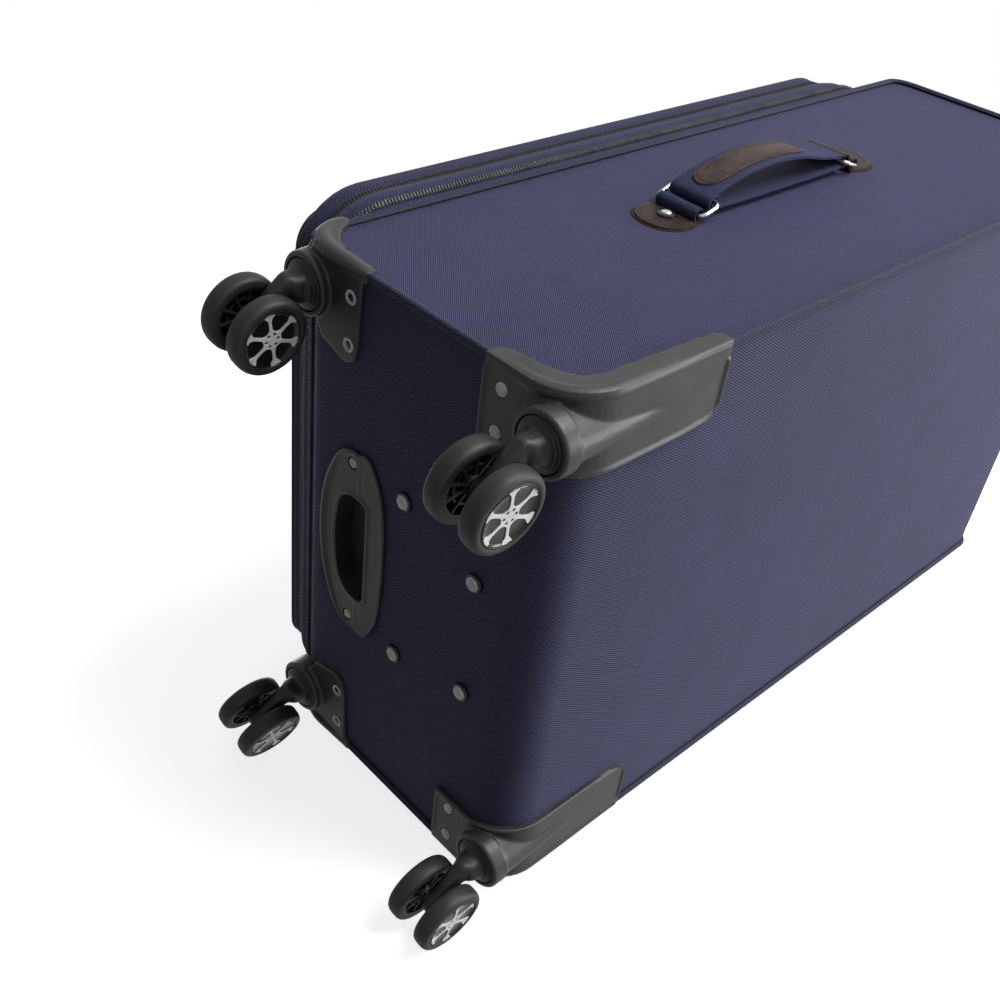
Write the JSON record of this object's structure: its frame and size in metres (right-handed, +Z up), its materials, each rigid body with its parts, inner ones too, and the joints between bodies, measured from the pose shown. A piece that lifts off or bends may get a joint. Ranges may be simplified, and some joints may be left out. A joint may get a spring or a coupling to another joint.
{
  "type": "softside upright suitcase",
  "caption": "Upright fabric suitcase on swivelling twin-wheel casters, with zipped lid, expander, telescopic handle, padded pockets and ring-mounted carry handles.",
  "frame": {"origin": "on the floor under the middle of the whole object's bounding box, the case standing on its wheels", "axes": "+Z up along the height, -Y towards the front with the lid and pockets, +Y towards the back panel, +X towards the side with the carry handle; the lid's hinge is on the -X side"},
  "size_m": [0.4719, 0.3353, 0.8035],
  "materials": {
    "twill_fabric": "navy twill over foam, matte",
    "pocket_fabric": "navy twill, padded, matte",
    "guard_plastic": "charcoal moulded plastic, fine grain",
    "caster_plastic": "black moulded plastic, satin gloss",
    "tyre_rubber": "black hard rubber, matte",
    "steel": "bright plated steel",
    "tube_aluminium": "satin anodised",
    "board": "hard plastic board, matte",
    "grab_plastic": "dark brown-grey moulded plastic, satin",
    "leather": "dark brown smooth leather, stitched edge",
    "webbing": "ribbed navy webbing",
    "zip_metal": "silver-grey plated zip metal"
  },
  "bodies": {
    "case": {"case_shell": "twill_fabric", "base_board": "board", "base_grab_handle": "grab_plastic", "front_right_corner_guard": "guard_plastic", "front_left_corner_guard": "guard_plastic", "back_right_corner_guard": "guard_plastic", "back_left_corner_guard": "guard_plastic", "front_right_swivel_pin": "steel", "front_left_swivel_pin": "steel", "back_right_swivel_pin": "steel", "back_left_swivel_pin": "steel", "trolley_bezel": "guard_plastic", "trolley_outer_tube_left": "tube_aluminium", "trolley_outer_tube_right": "tube_aluminium", "side_handle_tab_a": "leather", "side_handle_tab_b": "leather", "top_handle_tab_a": "leather", "top_handle_tab_b": "leather"},
    "expander": {"expander_frame": "twill_fabric"},
    "lid": {"lid_shell": "twill_fabric", "lower_pocket": "pocket_fabric", "upper_pocket": "pocket_fabric"},
    "main_slider_a": {"main_zip_slider_a": "zip_metal"},
    "main_slider_b": {"main_zip_slider_b": "zip_metal"},
    "expansion_slider": {"expansion_zip_slider": "zip_metal"},
    "pocket_slider": {"pocket_zip_slider": "zip_metal"},
    "front_right_caster": {"front_right_fork": "caster_plastic", "front_right_axle": "steel"},
    "front_right_wheel_a": {"front_right_hub_a": "caster_plastic", "front_right_tyre_a": "tyre_rubber"},
    "front_right_wheel_b": {"front_right_hub_b": "caster_plastic", "front_right_tyre_b": "tyre_rubber"},
    "front_left_caster": {"front_left_fork": "caster_plastic", "front_left_axle": "steel"},
    "front_left_wheel_a": {"front_left_hub_a": "caster_plastic", "front_left_tyre_a": "tyre_rubber"},
    "front_left_wheel_b": {"front_left_hub_b": "caster_plastic", "front_left_tyre_b": "tyre_rubber"},
    "back_right_caster": {"back_right_fork": "caster_plastic", "back_right_axle": "steel"},
    "back_right_wheel_a": {"back_right_hub_a": "caster_plastic", "back_right_tyre_a": "tyre_rubber"},
    "back_right_wheel_b": {"back_right_hub_b": "caster_plastic", "back_right_tyre_b": "tyre_rubber"},
    "back_left_caster": {"back_left_fork": "caster_plastic", "back_left_axle": "steel"},
    "back_left_wheel_a": {"back_left_hub_a": "caster_plastic", "back_left_tyre_a": "tyre_rubber"},
    "back_left_wheel_b": {"back_left_hub_b": "caster_plastic", "back_left_tyre_b": "tyre_rubber"},
    "trolley": {"trolley_grip": "guard_plastic", "trolley_inner_tube_left": "tube_aluminium", "trolley_inner_tube_right": "tube_aluminium"},
    "button": {"release_button": "caster_plastic"},
    "side_strap": {"side_handle_strap": "webbing"},
    "side_ring_a": {"side_handle_ring_a": "steel"},
    "side_ring_b": {"side_handle_ring_b": "steel"},
    "top_strap": {"top_handle_strap": "webbing"},
    "top_ring_a": {"top_handle_ring_a": "steel"},
    "top_ring_b": {"top_handle_ring_b": "steel"}
  },
  "joints": [
    {"name": "expander_slide", "type": "slide", "parent": "case", "child": "expander", "axis": [0, -1, 0], "range_m": [0, 0.045]},
    {"name": "lid_hinge", "type": "hinge", "parent": "expander", "child": "lid", "pos_m": [-0.2161, -0.1215, 0.073], "axis": [0, 0, -1], "range_deg": [0, 180]},
    {"name": "main_zip_a", "type": "slide", "parent": "expander", "child": "main_slider_a", "axis": [1, 0, 0], "range_m": [0, 0.095]},
    {"name": "main_zip_b", "type": "slide", "parent": "expander", "child": "main_slider_b", "axis": [-1, 0, 0], "range_m": [0, 0.095]},
    {"name": "expansion_zip", "type": "slide", "parent": "expander", "child": "expansion_slider", "axis": [1, 0, 0], "range_m": [0, 0.24]},
    {"name": "pocket_zip", "type": "slide", "parent": "lid", "child": "pocket_slider", "axis": [1, 0, 0], "range_m": [0, 0.26]},
    {"name": "front_right_swivel", "type": "hinge", "parent": "case", "child": "front_right_caster", "pos_m": [0.1794, -0.07, 0.073], "axis": [0, 0, 1], "continuous": true},
    {"name": "front_right_wheel_a_spin", "type": "hinge", "parent": "front_right_caster", "child": "front_right_wheel_a", "pos_m": [0.1605, -0.07199, 0.027], "axis": [-0.1045, 0.9945, 0], "continuous": true},
    {"name": "front_right_wheel_b_spin", "type": "hinge", "parent": "front_right_caster", "child": "front_right_wheel_b", "pos_m": [0.1605, -0.07199, 0.027], "axis": [-0.1045, 0.9945, 0], "continuous": true},
    {"name": "front_left_swivel", "type": "hinge", "parent": "case", "child": "front_left_caster", "pos_m": [-0.1866, -0.07, 0.073], "axis": [0, 0, 1], "continuous": true},
    {"name": "front_left_wheel_a_spin", "type": "hinge", "parent": "front_left_caster", "child": "front_left_wheel_a", "pos_m": [-0.20456, -0.07619, 0.027], "axis": [-0.3256, 0.9455, 0], "continuous": true},
    {"name": "front_left_wheel_b_spin", "type": "hinge", "parent": "front_left_caster", "child": "front_left_wheel_b", "pos_m": [-0.20456, -0.07619, 0.027], "axis": [-0.3256, 0.9455, 0], "continuous": true},
    {"name": "back_right_swivel", "type": "hinge", "parent": "case", "child": "back_right_caster", "pos_m": [0.1794, 0.146, 0.073], "axis": [0, 0, 1], "continuous": true},
    {"name": "back_right_wheel_a_spin", "type": "hinge", "parent": "back_right_caster", "child": "back_right_wheel_a", "pos_m": [0.16047, 0.14434, 0.027], "axis": [-0.0872, 0.9962, 0], "continuous": true},
    {"name": "back_right_wheel_b_spin", "type": "hinge", "parent": "back_right_caster", "child": "back_right_wheel_b", "pos_m": [0.16047, 0.14434, 0.027], "axis": [-0.0872, 0.9962, 0], "continuous": true},
    {"name": "back_left_swivel", "type": "hinge", "parent": "case", "child": "back_left_caster", "pos_m": [-0.1866, 0.146, 0.073], "axis": [0, 0, 1], "continuous": true},
    {"name": "back_left_wheel_a_spin", "type": "hinge", "parent": "back_left_caster", "child": "back_left_wheel_a", "pos_m": [-0.2055, 0.14401, 0.027], "axis": [-0.1045, 0.9945, 0], "continuous": true},
    {"name": "back_left_wheel_b_spin", "type": "hinge", "parent": "back_left_caster", "child": "back_left_wheel_b", "pos_m": [-0.2055, 0.14401, 0.027], "axis": [-0.1045, 0.9945, 0], "continuous": true},
    {"name": "trolley_slide", "type": "slide", "parent": "case", "child": "trolley", "axis": [0, 0, 1], "range_m": [0, 0.32]},
    {"name": "release_button_press", "type": "slide", "parent": "trolley", "child": "button", "axis": [0, 0, -1], "range_m": [0, 0.003], "stiffness_N_per_m": 400, "springref_m": -0.001},
    {"name": "side_ring_a_hinge", "type": "hinge", "parent": "case", "child": "side_ring_a", "pos_m": [0.2114, 0.02, 0.321], "axis": [0, 1, 0], "range_deg": [0, 25]},
    {"name": "side_ring_b_hinge", "type": "hinge", "parent": "case", "child": "side_ring_b", "pos_m": [0.2114, 0.02, 0.515], "axis": [0, -1, 0], "range_deg": [0, 25]},
    {"name": "side_strap_lift", "type": "slide", "parent": "case", "child": "side_strap", "axis": [1, 0, 0], "range_m": [0, 0.00621]},
    {"name": "top_ring_a_hinge", "type": "hinge", "parent": "case", "child": "top_ring_a", "pos_m": [-0.1006, 0.028, 0.779], "axis": [0, -1, 0], "range_deg": [0, 25]},
    {"name": "top_ring_b_hinge", "type": "hinge", "parent": "case", "child": "top_ring_b", "pos_m": [0.0934, 0.028, 0.779], "axis": [0, 1, 0], "range_deg": [0, 25]},
    {"name": "top_strap_lift", "type": "slide", "parent": "case", "child": "top_strap", "axis": [0, 0, 1], "range_m": [0, 0.00621]}
  ],
  "couplings": [
    {"joint": "side_ring_b_hinge", "follows": "side_ring_a_hinge", "ratio": 1},
    {"joint": "side_strap_lift", "follows": "side_ring_a_hinge", "m_per_rad": 0.01422},
    {"joint": "top_ring_b_hinge", "follows": "top_ring_a_hinge", "ratio": 1},
    {"joint": "top_strap_lift", "follows": "top_ring_a_hinge", "m_per_rad": 0.01422}
  ]
}
